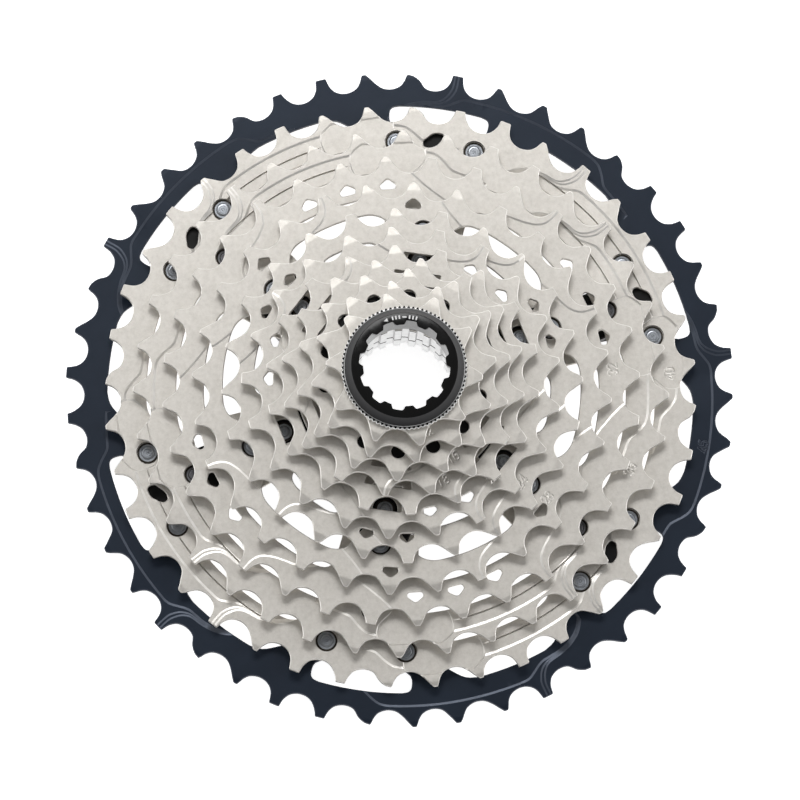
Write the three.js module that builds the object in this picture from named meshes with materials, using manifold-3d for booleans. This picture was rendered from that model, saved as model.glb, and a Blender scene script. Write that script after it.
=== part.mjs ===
// Twelve-speed cassette of bicycle sprockets, lying on its back.
// Millimetres. The axle is +Z, from the largest sprocket (z = 0) to the lock ring.
// The origin is on the axle, at the back face of the 45-tooth sprocket.
// The two lock ring pieces are drawn screwed home.

import * as THREE from 'three';
import { mergeVertices } from 'three/addons/utils/BufferGeometryUtils.js';
import Module from 'manifold-3d';

const wasm = await Module();
wasm.setup();

// ---------------------------------------------------------------- driving dimensions

const CHAIN_PITCH = 12.7;       // standard half-inch bicycle chain
const SPROCKET_SPACING = 3.65;  // from one sprocket to the next, along the axle
const PLATE = 1.6;              // thickness of every sprocket
const GAP = 0.3;                // air between pieces that touch

const SEAT_DEPTH = 3.95;        // roller seat, below the pitch circle
const SEAT_SHOULDER = 3.45;     // half width of the seat where the flank starts
const SHOULDER_DEPTH = 2.0;     // depth of that place below the pitch circle
const TIP_HEIGHT = 0.95;        // tooth tip, above the pitch circle
const TIP_HALF_WIDTH = 1.15;

const ARMS = 6;
const ARM_STEP = 360 / ARMS;
const FIRST_ARM = 22;           // degrees from +X to the first carrier arm

const SPLINES = 23;
const SPLINE_ROOT = 15.3;
const SPLINE_TIP = 14.5;
const SPLINE_LAND = 0.22;       // half width of one spline, as a share of its step

const RIVET_SHANK = 1.6;
const RIVET_HEAD = 2.6;
const RIVET_HEAD_HEIGHT = 0.9;
const RIVET_SIDES = 6;

const OUTER_RIVET = { radius: 71.4, spread: 8.8 }; // pairs, 45 and 40 teeth
const MIDDLE_RIVET = 61.2;                         // 36 teeth
const INNER_RIVET = 43.8;                          // 32 and 28 teeth
const HUB_RIVET = 34.8;                            // 24 teeth

const HUB_RADIUS = 25;
const SPACER_RADIUS = 18.5;
const WIDE_SPACER_RADIUS = 23.2;  // behind the holes of the 14-tooth sprocket

const LOCK_RING = {
  top: 46.4, seat: 43.15, end: 33.5, rim: 16.3, face: 14.3, cone: 2.9,
  sleeve: 13.4, inside: 12.5, flange: 1.8, bore: 11.15, notch: 12.3, notches: 12, firstNotch: 21,
};
const WASHER = { inner: 13.9, outer: 17, bottom: 42.05, top: 42.85 };

// Teeth, then the direction in degrees of one tooth's centre line.
const SPROCKETS = [
  { teeth: 45, phase: 7.66 }, { teeth: 40, phase: 5.9 }, { teeth: 36, phase: 9.2 },
  { teeth: 32, phase: 3.5 }, { teeth: 28, phase: 9.1 }, { teeth: 24, phase: 1.4 },
  { teeth: 21, phase: 7.2 }, { teeth: 18, phase: 12.9 }, { teeth: 16, phase: 12.4 },
  { teeth: 14, phase: 8.8 }, { teeth: 12, phase: 6.1 }, { teeth: 10, phase: 29.5 },
];

// ---------------------------------------------------------------- materials

const nickel = () => new THREE.MeshStandardMaterial({ color: 0xcfccc6, roughness: 0.38, metalness: 0.9 });
const navy = () => new THREE.MeshStandardMaterial({ color: 0x2d323e, roughness: 0.45, metalness: 0.6 });
const black = () => new THREE.MeshStandardMaterial({ color: 0x17181a, roughness: 0.4, metalness: 0.5 });
const rivetSteel = () => new THREE.MeshStandardMaterial({ color: 0x8f959c, roughness: 0.35, metalness: 1.0 });
const spacerAlloy = () => new THREE.MeshStandardMaterial({ color: 0x2b2b2d, roughness: 0.45, metalness: 0.5 });

// ---------------------------------------------------------------- small geometry helpers

const radians = THREE.MathUtils.degToRad;
const pitchRadius = (teeth) => CHAIN_PITCH / 2 / Math.sin(Math.PI / teeth);
const plateBottom = (index) => index * SPROCKET_SPACING;
const armAngle = (arm) => FIRST_ARM + arm * ARM_STEP;

function polar(radius, degrees) {
  const angle = radians(degrees);
  return new THREE.Vector2(radius * Math.cos(angle), radius * Math.sin(angle));
}

// A point given along and across a line that leaves the axle at some direction.
function along(direction, out, across) {
  return new THREE.Vector2(out, across).rotateAround(new THREE.Vector2(), radians(direction));
}

function circle(radius, sides, centre = new THREE.Vector2(), turn = 0) {
  const points = [];
  for (let i = 0; i < sides; i += 1) points.push(polar(radius, turn + (360 * i) / sides).add(centre));
  return points;
}

function arc(radius, from, to, steps) {
  return Array.from({ length: steps + 1 }, (_, i) => polar(radius, from + ((to - from) * i) / steps));
}

function arcSlot(inner, outer, from, to, steps) {
  return [...arc(outer, from, to, steps), ...arc(inner, to, from, steps)];
}

function plate(outline, holes, bottom, thickness) {
  const shape = new THREE.Shape(outline);
  shape.holes = holes.map((points) => new THREE.Path(points));
  const geometry = new THREE.ExtrudeGeometry(shape, { depth: thickness, bevelEnabled: false });
  return geometry.translate(0, 0, bottom);
}

function ring(outer, inner, sides, bottom, top) {
  return plate(circle(outer, sides), [circle(inner, sides)], bottom, top - bottom);
}

// A body turned about the axle from (radius, height) points.
function turned(profile, sides) {
  const points = profile.map(([radius, height]) => new THREE.Vector2(radius, height));
  return new THREE.LatheGeometry(points, sides).rotateX(Math.PI / 2);
}

function solidOf(geometry) {
  const bare = geometry.clone();
  bare.deleteAttribute('normal');
  bare.deleteAttribute('uv');
  const merged = mergeVertices(bare, 1e-4);
  return new wasm.Manifold(new wasm.Mesh({
    numProp: 3,
    vertProperties: new Float32Array(merged.attributes.position.array),
    triVerts: new Uint32Array(merged.index.array),
  }));
}

function geometryOf(solid) {
  const mesh = solid.getMesh();
  const geometry = new THREE.BufferGeometry();
  geometry.setAttribute('position', new THREE.BufferAttribute(mesh.vertProperties, 3));
  geometry.setIndex(new THREE.BufferAttribute(mesh.triVerts, 1));
  geometry.computeVertexNormals();
  return geometry;
}

function joined(geometries) {
  return geometryOf(geometries.map(solidOf).reduce((sum, next) => sum.add(next)));
}

// ---------------------------------------------------------------- outlines

// One roller seat and one tooth after another, five points to the tooth.
function toothedOutline({ teeth, phase }) {
  const pitch = pitchRadius(teeth);
  const step = 360 / teeth;
  const points = [];
  for (let i = 0; i < teeth; i += 1) {
    const tooth = phase + i * step;
    points.push(along(tooth - step / 2, pitch - SEAT_DEPTH, 0));
    points.push(along(tooth - step / 2, pitch - SHOULDER_DEPTH, SEAT_SHOULDER));
    points.push(along(tooth, pitch + TIP_HEIGHT, -TIP_HALF_WIDTH));
    points.push(along(tooth, pitch + TIP_HEIGHT, TIP_HALF_WIDTH));
    points.push(along(tooth + step / 2, pitch - SHOULDER_DEPTH, -SEAT_SHOULDER));
  }
  return points;
}

// Inner edge of a ring that reaches further in at each carrier arm, wider by the splay where it sets out.
function landedBore(openRadius, landRadius, landHalfWidth, splay = 2) {
  const landAngle = THREE.MathUtils.radToDeg(Math.asin(landHalfWidth / landRadius));
  const openAngle = THREE.MathUtils.radToDeg(Math.asin((landHalfWidth + splay) / openRadius));
  const points = [];
  for (let arm = 0; arm < ARMS; arm += 1) {
    const at = armAngle(arm);
    points.push(...arc(landRadius, at - landAngle, at + landAngle, 4));
    points.push(...arc(openRadius, at + openAngle, at + ARM_STEP - openAngle, 4));
  }
  return points;
}

// Inner edge of the largest sprocket: two slanting tabs to each arm, between wide windows.
function tabbedBore() {
  const side = [
    [82.4, 9.2], [77.3, 10], [74, 5.9], [70, 5.5], [67.8, 7.4],
    [67.8, 10.4], [70.5, 12.4], [77.5, 18.2], [80.7, 22],
  ];
  const points = [];
  for (let arm = 0; arm < ARMS; arm += 1) {
    const at = armAngle(arm);
    side.slice().reverse().forEach(([radius, turn]) => points.push(polar(radius, at - turn)));
    points.push(polar(82.4, at));
    side.forEach(([radius, turn]) => points.push(polar(radius, at + turn)));
    points.push(polar(80.7, at + ARM_STEP / 2));
  }
  return points;
}

function splinedBore() {
  const points = [];
  const step = 360 / SPLINES;
  for (let i = 0; i < SPLINES; i += 1) {
    const at = i * step;
    points.push(polar(SPLINE_TIP, at - step * SPLINE_LAND), polar(SPLINE_TIP, at + step * SPLINE_LAND));
    points.push(polar(SPLINE_ROOT, at + step * (SPLINE_LAND + 0.06)));
    points.push(polar(SPLINE_ROOT, at + step * (0.94 - SPLINE_LAND)));
  }
  return points;
}

// ---------------------------------------------------------------- holes

const rivetHole = (radius, degrees) => circle(RIVET_SHANK + GAP, RIVET_SIDES, polar(radius, degrees), degrees);

function armHoles(radius) {
  return Array.from({ length: ARMS }, (_, arm) => rivetHole(radius, armAngle(arm)));
}

function pairedHoles() {
  const holes = [];
  for (let arm = 0; arm < ARMS; arm += 1) {
    for (const side of [-1, 1]) {
      holes.push(rivetHole(OUTER_RIVET.radius, armAngle(arm) + side * OUTER_RIVET.spread));
    }
  }
  return holes;
}

// Rounded-triangle lightening holes, each on the centre line of a tooth.
function lighteningHoles({ teeth, phase }, radius, toothNumbers) {
  return toothNumbers.map((tooth) => circle(1.7, 5, polar(radius, phase + (tooth * 360) / teeth),
    phase + (tooth * 360) / teeth));
}

function everyTooth({ teeth, phase }, radius, size) {
  return Array.from({ length: teeth }, (_, tooth) => {
    const at = phase + (tooth * 360) / teeth;
    return circle(size, 6, polar(radius, at), at);
  });
}

// Slots beside each arm direction, as wide as `half` degrees to each side.
function armSlots(inner, outer, half) {
  return Array.from({ length: ARMS }, (_, arm) => arcSlot(inner, outer, armAngle(arm) - half,
    armAngle(arm) + half, 4));
}

// The slot between each pair of outer rivets; the arm at 262 degrees has none.
function pairSlots() {
  const slots = [];
  for (let arm = 0; arm < ARMS; arm += 1) {
    if (arm !== 4) slots.push(arcSlot(70.2, 74.4, armAngle(arm) - 1.6, armAngle(arm) + 2.6, 1));
  }
  return slots;
}

// ---------------------------------------------------------------- sprockets

const [T45, T40, T36, T32, T28, T24, T21, T18, T16, T14, T12, T10] = SPROCKETS;

const SPROCKET_INSIDES = new Map([
  [T45, [tabbedBore(), ...pairedHoles()]],
  [T40, [landedBore(69.9, 66.9, 18), ...pairedHoles(), ...pairSlots()]],
  [T36, [landedBore(62.1, 58.4, 9), ...armHoles(MIDDLE_RIVET)]],
  [T32, [landedBore(54.1, 40.4, 10), ...armHoles(INNER_RIVET),
    ...lighteningHoles(T32, 57.7, [1, 2, 3, 8, 9, 10, 17, 18, 19, 24, 25, 26])]],
  [T28, [landedBore(48.9, 40.4, 5, 6), ...armHoles(INNER_RIVET),
    ...lighteningHoles(T28, 51.4, [6, 10, 20, 24])]],
  [T24, [landedBore(40.5, 30.6, 9.5), ...armHoles(HUB_RIVET),
    ...lighteningHoles(T24, 42.5, [1, 2, 9, 10, 17, 18])]],
  [T21, [splinedBore(), ...armSlots(29, 35.8, 7),
    ...lighteningHoles(T21, 36.6, [2, 3, 9, 10, 16, 17])]],
  [T18, [splinedBore(), ...armSlots(26.6, 29.8, 18)]],
  [T16, [splinedBore(), ...armSlots(22.2, 25.3, 18)]],
  [T14, [splinedBore(), ...everyTooth(T14, 21.3, 1.9)]],
  [T12, [splinedBore()]],
]);

function sprocketGeometry(sprocket) {
  const bottom = plateBottom(SPROCKETS.indexOf(sprocket));
  return plate(toothedOutline(sprocket), SPROCKET_INSIDES.get(sprocket), bottom, PLATE);
}

// The smallest sprocket carries its own spacing collar on its back.
function smallestSprocket() {
  const bottom = plateBottom(SPROCKETS.indexOf(T10));
  const collarBottom = plateBottom(SPROCKETS.indexOf(T12)) + PLATE + GAP;
  const bore = circle(LOCK_RING.sleeve + GAP, 24);
  return joined([
    plate(toothedOutline(T10), [bore], bottom, PLATE),
    plate(circle(15.6, 24), [bore], collarBottom, bottom + PLATE / 2 - collarBottom),
  ]);
}

// ---------------------------------------------------------------- carriers

// Six arms round a hub; each arm's edge is given as [out, half width] from hub to tip.
function armStar(edge, hubRadius) {
  const points = [];
  for (let arm = 0; arm < ARMS; arm += 1) {
    const at = armAngle(arm);
    edge.forEach(([out, half]) => points.push(along(at, out, -half)));
    edge.slice().reverse().forEach(([out, half]) => points.push(along(at, out, half)));
    points.push(polar(hubRadius, at + ARM_STEP / 2));
  }
  return points;
}

function hub(bottom, top) {
  return plate(circle(HUB_RADIUS, 30), [splinedBore()], bottom, top - bottom);
}

function rearCarrier() {
  const bore = circle(HUB_RADIUS - 3, 24);
  const plateFrom = PLATE + GAP;
  const thinTo = plateBottom(1) - GAP;
  const thickTo = plateBottom(2) - GAP;
  const thick = armStar([[26, 10], [36, 8.5], [44, 7], [62, 6.5], [66.4, 4.5]], HUB_RADIUS + 1);
  const thin = armStar([[26, 10], [36, 8.5], [44, 7], [59, 7], [67, 14.5], [73, 15.4], [75.8, 12.5]],
    HUB_RADIUS + 1);
  return joined([
    hub(0.6, plateBottom(2) + PLATE),
    plate(thick, [bore, ...armHoles(MIDDLE_RIVET)], plateFrom, thickTo - plateFrom),
    plate(thin, [bore, ...armHoles(MIDDLE_RIVET), ...pairedHoles()], plateFrom, thinTo - plateFrom),
  ]);
}

function frontCarrier() {
  const bore = circle(HUB_RADIUS - 3, 24);
  const bottom = plateBottom(2) + PLATE + GAP;
  const holes = armHoles(HUB_RIVET);
  const thick = armStar([[26, 10], [34, 9.5], [39.2, 7.5]], HUB_RADIUS + 1);
  const thin = armStar([[26, 10], [34, 9.5], [42, 7.2], [46.5, 6.2], [48.8, 3]], HUB_RADIUS + 1);
  const plateFrom = plateBottom(3) + PLATE + GAP;
  const plateTo = plateBottom(4) - GAP;
  return joined([
    hub(bottom, plateBottom(6) - GAP),
    plate(thick, [bore, ...holes], bottom, plateBottom(5) - GAP - bottom),
    plate(thin, [bore, ...holes, ...armHoles(INNER_RIVET)], plateFrom, plateTo - plateFrom),
  ]);
}

// ---------------------------------------------------------------- rivets, spacers, lock ring

function rivet(radius, degrees, bottom, underHead) {
  const top = underHead + RIVET_HEAD_HEIGHT;
  const body = turned([
    [0, bottom], [RIVET_SHANK, bottom], [RIVET_SHANK, underHead],
    [RIVET_HEAD, underHead], [RIVET_HEAD, top], [0, top],
  ], RIVET_SIDES);
  const centre = polar(radius, degrees);
  return body.translate(centre.x, centre.y, 0);
}

function lockRing() {
  const { top, seat, end, rim, face, cone, sleeve, inside, flange } = LOCK_RING;
  const { bore, notch, notches, firstNotch } = LOCK_RING;
  const body = turned([
    [0, end], [sleeve, end], [sleeve, seat], [rim, seat], [rim, top - cone], [face, top], [0, top],
  ], 36);
  const step = 360 / notches;
  const star = [];
  for (let i = 0; i < notches; i += 1) {
    const at = firstNotch + i * step;
    star.push(polar(bore, at - step * 0.3), polar(notch, at - step * 0.2));
    star.push(polar(notch, at + step * 0.2), polar(bore, at + step * 0.3));
  }
  const notchCutter = plate(star, [], end - 1, top - end + 2);
  const boreCutter = plate(circle(inside, 36), [], end - 1, top - flange - end + 1);
  return geometryOf(solidOf(body).subtract(solidOf(notchCutter)).subtract(solidOf(boreCutter)));
}

// ---------------------------------------------------------------- assembly

const cassette = new THREE.Group();

function add(name, geometry, material) {
  const mesh = new THREE.Mesh(geometry, material);
  mesh.name = name;
  cassette.add(mesh);
}

SPROCKETS.slice(0, -1).forEach((sprocket) => {
  add(`sprocket_${sprocket.teeth}t`, sprocketGeometry(sprocket), sprocket === T45 ? navy() : nickel());
});
add('sprocket_10t', smallestSprocket(), nickel());

add('rear_carrier', rearCarrier(), black());
add('front_carrier', frontCarrier(), black());

for (const index of [6, 7, 8, 9]) {
  const name = `spacer_${SPROCKETS[index].teeth}t_${SPROCKETS[index + 1].teeth}t`;
  const outer = SPROCKETS[index + 1] === T14 ? WIDE_SPACER_RADIUS : SPACER_RADIUS;
  const bottom = plateBottom(index) + PLATE + GAP;
  add(name, ring(outer, SPLINE_ROOT, 24, bottom, plateBottom(index + 1) - GAP), spacerAlloy());
}

const headOn = (index) => plateBottom(index) + PLATE + 0.25;
for (let arm = 0; arm < ARMS; arm += 1) {
  const at = armAngle(arm);
  const label = arm + 1;
  add(`rivet_40t_${label}a`, rivet(OUTER_RIVET.radius, at - OUTER_RIVET.spread, GAP, headOn(1)), rivetSteel());
  add(`rivet_40t_${label}b`, rivet(OUTER_RIVET.radius, at + OUTER_RIVET.spread, GAP, headOn(1)), rivetSteel());
  add(`rivet_36t_${label}`, rivet(MIDDLE_RIVET, at, 2.2, headOn(2)), rivetSteel());
  add(`rivet_28t_${label}`, rivet(INNER_RIVET, at, 11.2, headOn(4)), rivetSteel());
  add(`rivet_24t_${label}`, rivet(HUB_RIVET, at, 9.6, headOn(5)), rivetSteel());
}

add('lock_ring', lockRing(), black());
add('lock_ring_washer', ring(WASHER.outer, WASHER.inner, 30, WASHER.bottom, WASHER.top), rivetSteel());

export default cassette;
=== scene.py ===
"""Looks of the twelve-speed bicycle cassette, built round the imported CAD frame.

Lengths inside the helpers are millimetres, as in the CAD source, and meshes are
scaled to metres when they are made. Angles are degrees from +X towards +Y.
"""
import math

import bpy
import numpy as np
from mathutils import Matrix, Vector
from mathutils.geometry import delaunay_2d_cdt


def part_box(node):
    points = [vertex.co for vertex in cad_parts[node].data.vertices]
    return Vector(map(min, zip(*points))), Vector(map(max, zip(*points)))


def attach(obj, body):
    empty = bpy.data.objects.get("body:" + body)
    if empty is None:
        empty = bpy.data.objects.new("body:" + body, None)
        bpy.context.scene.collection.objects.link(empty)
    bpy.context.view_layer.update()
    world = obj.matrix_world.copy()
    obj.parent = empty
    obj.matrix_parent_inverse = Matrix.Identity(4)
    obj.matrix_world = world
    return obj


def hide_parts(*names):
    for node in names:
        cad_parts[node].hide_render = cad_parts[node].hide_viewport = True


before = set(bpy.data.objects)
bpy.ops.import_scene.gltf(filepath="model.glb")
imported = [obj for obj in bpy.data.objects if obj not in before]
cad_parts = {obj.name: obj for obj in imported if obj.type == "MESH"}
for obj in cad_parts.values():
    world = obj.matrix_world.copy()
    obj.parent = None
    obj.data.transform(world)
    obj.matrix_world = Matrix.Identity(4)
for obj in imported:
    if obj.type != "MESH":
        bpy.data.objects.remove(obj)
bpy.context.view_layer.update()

MM = 0.001
STACK = "sprocket_stack"

# ---- driving dimensions

HALF_PITCH = 12.7 / 2
PLATE = 1.6              # thickness of every sprocket
EDGE = 0.2               # width of the broken edge round every plate
EDGE_FALL = 0.8          # its fall, as a share of its width
STEEP = 0.975            # a front face whose normal rises less than this is a slope, and gets the painted highlight
ARMS = 6
FIRST_ARM = 22.0
ARM_STEP = 360 / ARMS
SPLINES = 23
SPLINE_TIP, SPLINE_ROOT = 14.5, 15.3
SHANK, SHANK_HOLE = 1.6, 1.9
OUTER_RIVET, MIDDLE_RIVET, INNER_RIVET, HUB_RIVET = 71.4, 61.2, 43.8, 34.8
PAIR_HALF = 8.8          # degrees from an arm to each of its two outer rivets

# Each sprocket has the direction of its tooth 0, its tooth shapes (one letter a tooth, repeated
# all round) and its shift ramps, whose places are tooth numbers. An open ramp is (where its edge
# has risen to the teeth, last tooth). A banded ramp stays below the seats and has two places more
# in the middle, between which a pocket opens it to the seats. None stands for no pocket.
SPROCKETS = {
    45: dict(phase=7.66, teeth="TLSTWLSPS",
             ramps=[(5.5 + 9 * k, None, None, 9 + 9 * k) for k in range(5)]),
    40: dict(phase=5.9, teeth="SSTWPTSTWL",
             ramps=[(9.45, 9.5, 11.25, 14), (19.5, 19.5, 21.2, 25), (29.35, 29.4, 31.3, 34),
                    (39.45, 39.5, 41.25, 45)]),
    36: dict(phase=9.2, teeth="SSPTSWWSP",
             ramps=[(7.45, 7.5, 9.3, 12), (16.55, 17.5, 19.45, 21), (25.45, 25.5, 27.3, 30),
                    (34.55, 35.5, 37.45, 39)]),
    32: dict(phase=3.5, teeth="PPPPTSWWPPPTSWWW",
             ramps=[(7.5, 11), (15.5, 20), (23.5, 27), (31.4, 36)]),
    28: dict(phase=9.1, teeth="SWSWWSP", ramps=[(5.4 + 7 * k, 8 + 7 * k) for k in range(4)]),
    24: dict(phase=1.4, teeth="PSWSSWSW", ramps=[(-0.5, 3), (11.5, 15), (17.5, 20)]),
    21: dict(phase=7.2, teeth="SPSTWSP", ramps=[(-0.5, 3), (5.5, 8), (14.5, 17)]),
    18: dict(phase=12.9, teeth="WWSWPS", ramps=[(2.5, 5), (11.5, 14)]),
    16: dict(phase=12.4, teeth="SPWS", ramps=[(8.5, 11)]),
    14: dict(phase=8.8, teeth="PS", ramps=[]),
    12: dict(phase=6.1, teeth="SPS", ramps=[]),
    10: dict(phase=29.5, teeth="SP", ramps=[]),
}
# The direction of the tooth count stamped on each face.
STAMPED_AT = {45: 350.5, 40: 4.5, 36: 341, 32: 5.5, 28: 322, 24: 320, 21: 313, 18: 291, 16: 301,
              14: 307, 12: 291, 10: 207}

# The two sides of each tooth shape (T tall, W wide, S slanted, P pointed, L low) between its two
# seats, as (along the pitch circle, above it).
SEAT_DEPTH = -3.95
LOW_LEFT = [(-HALF_PITCH, SEAT_DEPTH), (-5.6, -3.9), (-4.7, -3.72), (-3.8, -3.32)]
STEEP_RIGHT = [(2.2, -1.5), (3.0, -2.65), (3.8, -3.25), (4.7, -3.65), (5.6, -3.88),
               (HALF_PITCH, SEAT_DEPTH)]
FLANKS = {
    "T": ([(-3.0, -2.75), (-2.2, -1.75), (-1.7, -0.4), (-1.35, 1.3)], [(1.5, 1.3), (1.8, -0.45)]),
    "W": ([(-3.0, -2.7), (-2.2, -1.7), (-1.5, -0.4), (-1.15, 0.8)], [(1.45, 0.8), (1.8, -0.45)]),
    "S": ([(-3.0, -2.75), (-2.0, -1.85), (-0.9, -0.6), (0.3, 0.7)], [(1.35, 0.65), (1.8, -0.45)]),
    "P": ([(-3.0, -2.6), (-2.2, -1.6), (-1.4, -0.6), (-0.5, 0.75)], [(0.75, 0.8), (1.5, -0.2)]),
    "L": ([(-3.1, -2.6), (-2.4, -1.6), (-1.5, -0.75), (-0.2, 0.05)], [(1.35, 0.4), (1.8, -0.45)]),
}
BEVELLED_TIPS = "SPL"    # tooth shapes whose tip is bevelled on the front

# ---- plane geometry


def polar(radius, degrees):
    angle = np.radians(degrees)
    return np.stack([radius * np.cos(angle), radius * np.sin(angle)], axis=-1)


def out_and_across(degrees):
    return polar(1.0, degrees), polar(1.0, degrees + 90)


def pitch_radius(teeth):
    return HALF_PITCH / math.sin(math.pi / teeth)


def arm_angles():
    return [FIRST_ARM + arm * ARM_STEP for arm in range(ARMS)]


def rivet_pairs():
    return [at + side * PAIR_HALF for at in arm_angles() for side in (-1, 1)]


def spline(points, steps):
    """A smooth curve through the points (Catmull-Rom)."""
    p = np.array(points, float)
    p = np.vstack([2 * p[0] - p[1], p, 2 * p[-1] - p[-2]])
    curve = []
    for a, b, c, d in zip(p, p[1:], p[2:], p[3:]):
        for t in np.arange(steps) / steps:
            curve.append(0.5 * (2 * b + (c - a) * t + (2 * a - 5 * b + 4 * c - d) * t * t
                                + (3 * b - a - 3 * c + d) * t ** 3))
    curve.append(p[-2])
    return np.array(curve)


CORNER_SHARE = 0.45      # no rounding takes more than this share of a corner's sides


def rounded(points, radius, steps=4):
    """A closed outline with every corner rounded off."""
    p = np.array(points, float)
    out = []
    for before, corner, after in zip(np.roll(p, 1, 0), p, np.roll(p, -1, 0)):
        to_before, to_after = before - corner, after - corner
        lengths = np.linalg.norm(to_before), np.linalg.norm(to_after)
        reach = min(radius, CORNER_SHARE * min(lengths))
        start = corner + to_before / lengths[0] * reach
        end = corner + to_after / lengths[1] * reach
        for t in np.arange(steps + 1) / steps:
            out.append((1 - t) ** 2 * start + 2 * t * (1 - t) * corner + t * t * end)
    return np.array(out)


def circle(radius, sides, centre=(0.0, 0.0)):
    return polar(radius, np.arange(sides) * 360 / sides) + np.array(centre)


def closed(loop):
    return np.vstack([loop, loop[:1]])


def offset(loop, distance):
    """The loop moved to its left by a distance."""
    step = np.roll(loop, -1, 0) - loop
    step /= np.maximum(np.linalg.norm(step, axis=1, keepdims=True), 1e-9)
    normal = np.stack([-step[:, 1], step[:, 0]], axis=1)
    bisector = normal + np.roll(normal, 1, 0)
    bisector /= np.maximum(np.linalg.norm(bisector, axis=1, keepdims=True), 1e-9)
    return loop + bisector * distance


def counter_clockwise(loop):
    x, y = loop[:, 0], loop[:, 1]
    area = np.sum(x * np.roll(y, -1) - np.roll(x, -1) * y)
    return loop if area > 0 else loop[::-1]


def inside(points, loops):
    """Even-odd test of many points against all the loops together."""
    x, y = points[:, 0][:, None], points[:, 1][:, None]
    odd = np.zeros(len(points), bool)
    for loop in loops:
        a, b = loop, np.roll(loop, -1, 0)
        crosses = (a[:, 1] > y) != (b[:, 1] > y)
        rise = np.where(np.abs(b[:, 1] - a[:, 1]) < 1e-12, 1e-12, b[:, 1] - a[:, 1])
        at = (b[:, 0] - a[:, 0]) * (y - a[:, 1]) / rise + a[:, 0]
        odd ^= (np.sum(crosses & (x < at), axis=1) % 2).astype(bool)
    return odd


def signed_distance(points, line):
    """Distance of many points from an open polyline, positive on its left."""
    a, b = line[:-1], line[1:]
    along = b - a
    to_point = points[:, None, :] - a[None]
    share = np.clip((to_point * along).sum(-1) / (along ** 2).sum(-1), 0, 1)
    gap = to_point - share[..., None] * along
    distance = np.linalg.norm(gap, axis=-1)
    nearest = distance.argmin(axis=1)
    rows = np.arange(len(points))
    segment, reach = along[nearest], to_point[rows, nearest]
    side = segment[:, 0] * reach[:, 1] - segment[:, 1] * reach[:, 0]
    return np.sign(side) * distance[rows, nearest]


def smoothstep(low, high, value):
    t = np.clip((value - low) / (high - low), 0, 1)
    return t * t * (3 - 2 * t)


# ---- meshes

PLATE_SHARP = 12         # degrees between faces that read as a line on a plate
GRID_CLEAR = 0.8         # a plate's loose points keep this far from its edges
EDGE_PART = 200          # points of an edge that are looked at together, to save memory


def new_object(name, vertices, faces, materials, sharp=22, face_materials=None):
    mesh = bpy.data.meshes.new(name)
    mesh.from_pydata((np.asarray(vertices) * MM).tolist(), [], faces)
    mesh.validate()
    for material in materials:
        mesh.materials.append(material)
    if face_materials is not None:
        mesh.polygons.foreach_set("material_index", face_materials)
    mesh.polygons.foreach_set("use_smooth", [True] * len(mesh.polygons))
    mesh.set_sharp_from_angle(angle=math.radians(sharp))
    mesh.update()
    piece = bpy.data.objects.new(name, mesh)
    bpy.context.scene.collection.objects.link(piece)
    return piece


def finished(piece, body, node=None):
    """Puts a piece on its body, and in place of the CAD node that it stands for, if any."""
    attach(piece, body)
    if node:
        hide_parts(node)


def measured(node):
    """The bottom, top and furthest +X of a CAD node's box."""
    low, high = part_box(node)
    return low.z / MM, high.z / MM, high.x / MM


def plate(name, outline, holes, bottom, top, materials, rails=(), loose=(), relief=None,
          grid=2.0, edge=EDGE):
    """A flat plate with broken edges; relief(points) lowers its front, in steps along the rails.

    A second material, a lighter copy that paints a highlight, goes on the broken edges and on the
    slopes of the front.
    """
    outline = counter_clockwise(outline)
    holes = [counter_clockwise(hole) for hole in holes]
    loops = [outline] + holes
    insets = [offset(outline, edge)] + [offset(hole, -edge) for hole in holes]
    points, edges = [], []

    def constrain(line):
        first = len(points)
        points.extend(Vector(p) for p in line)
        edges.extend((i, i + 1) for i in range(first, len(points) - 1))

    for loop in loops + insets:
        first = len(points)
        constrain(loop)
        edges.append((len(points) - 1, first))
    for rail in rails:
        constrain(rail)
    if grid:
        points.extend(Vector(p) for p in polar_grid(outline, loops, grid))
    points.extend(Vector(p) for p in loose)
    flat, _, triangles, *_ = delaunay_2d_cdt(points, edges, [], 0, 1e-5)
    flat = np.array([tuple(p) for p in flat])
    triangles = np.array(triangles)
    triangles = triangles[inside(flat[triangles].mean(axis=1), loops)]
    used, triangles = np.unique(triangles, return_inverse=True)
    flat, triangles = flat[used], triangles.reshape(-1, 3)
    return solid_plate(name, flat, triangles, bottom, top, materials, relief, edge)


def polar_grid(outline, loops, spacing):
    """Loose points all over the plate, clear of its edges."""
    radii = np.linalg.norm(outline, axis=1)
    inner = min(np.linalg.norm(loop, axis=1).min() for loop in loops)
    rows = []
    for k, radius in enumerate(np.arange(inner, radii.max(), spacing)):
        count = max(6, int(2 * math.pi * radius / spacing))
        rows.append(polar(radius, (np.arange(count) + 0.5 * (k % 2)) * 360 / count))
    points = np.vstack(rows)
    points = points[inside(points, loops)]
    clear = np.ones(len(points), bool)
    for loop in loops:
        for part in np.array_split(loop, max(1, len(loop) // EDGE_PART)):
            gap = np.linalg.norm(points[:, None] - part[None], axis=-1).min(axis=1)
            clear &= gap > GRID_CLEAR
    return points[clear]


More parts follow.
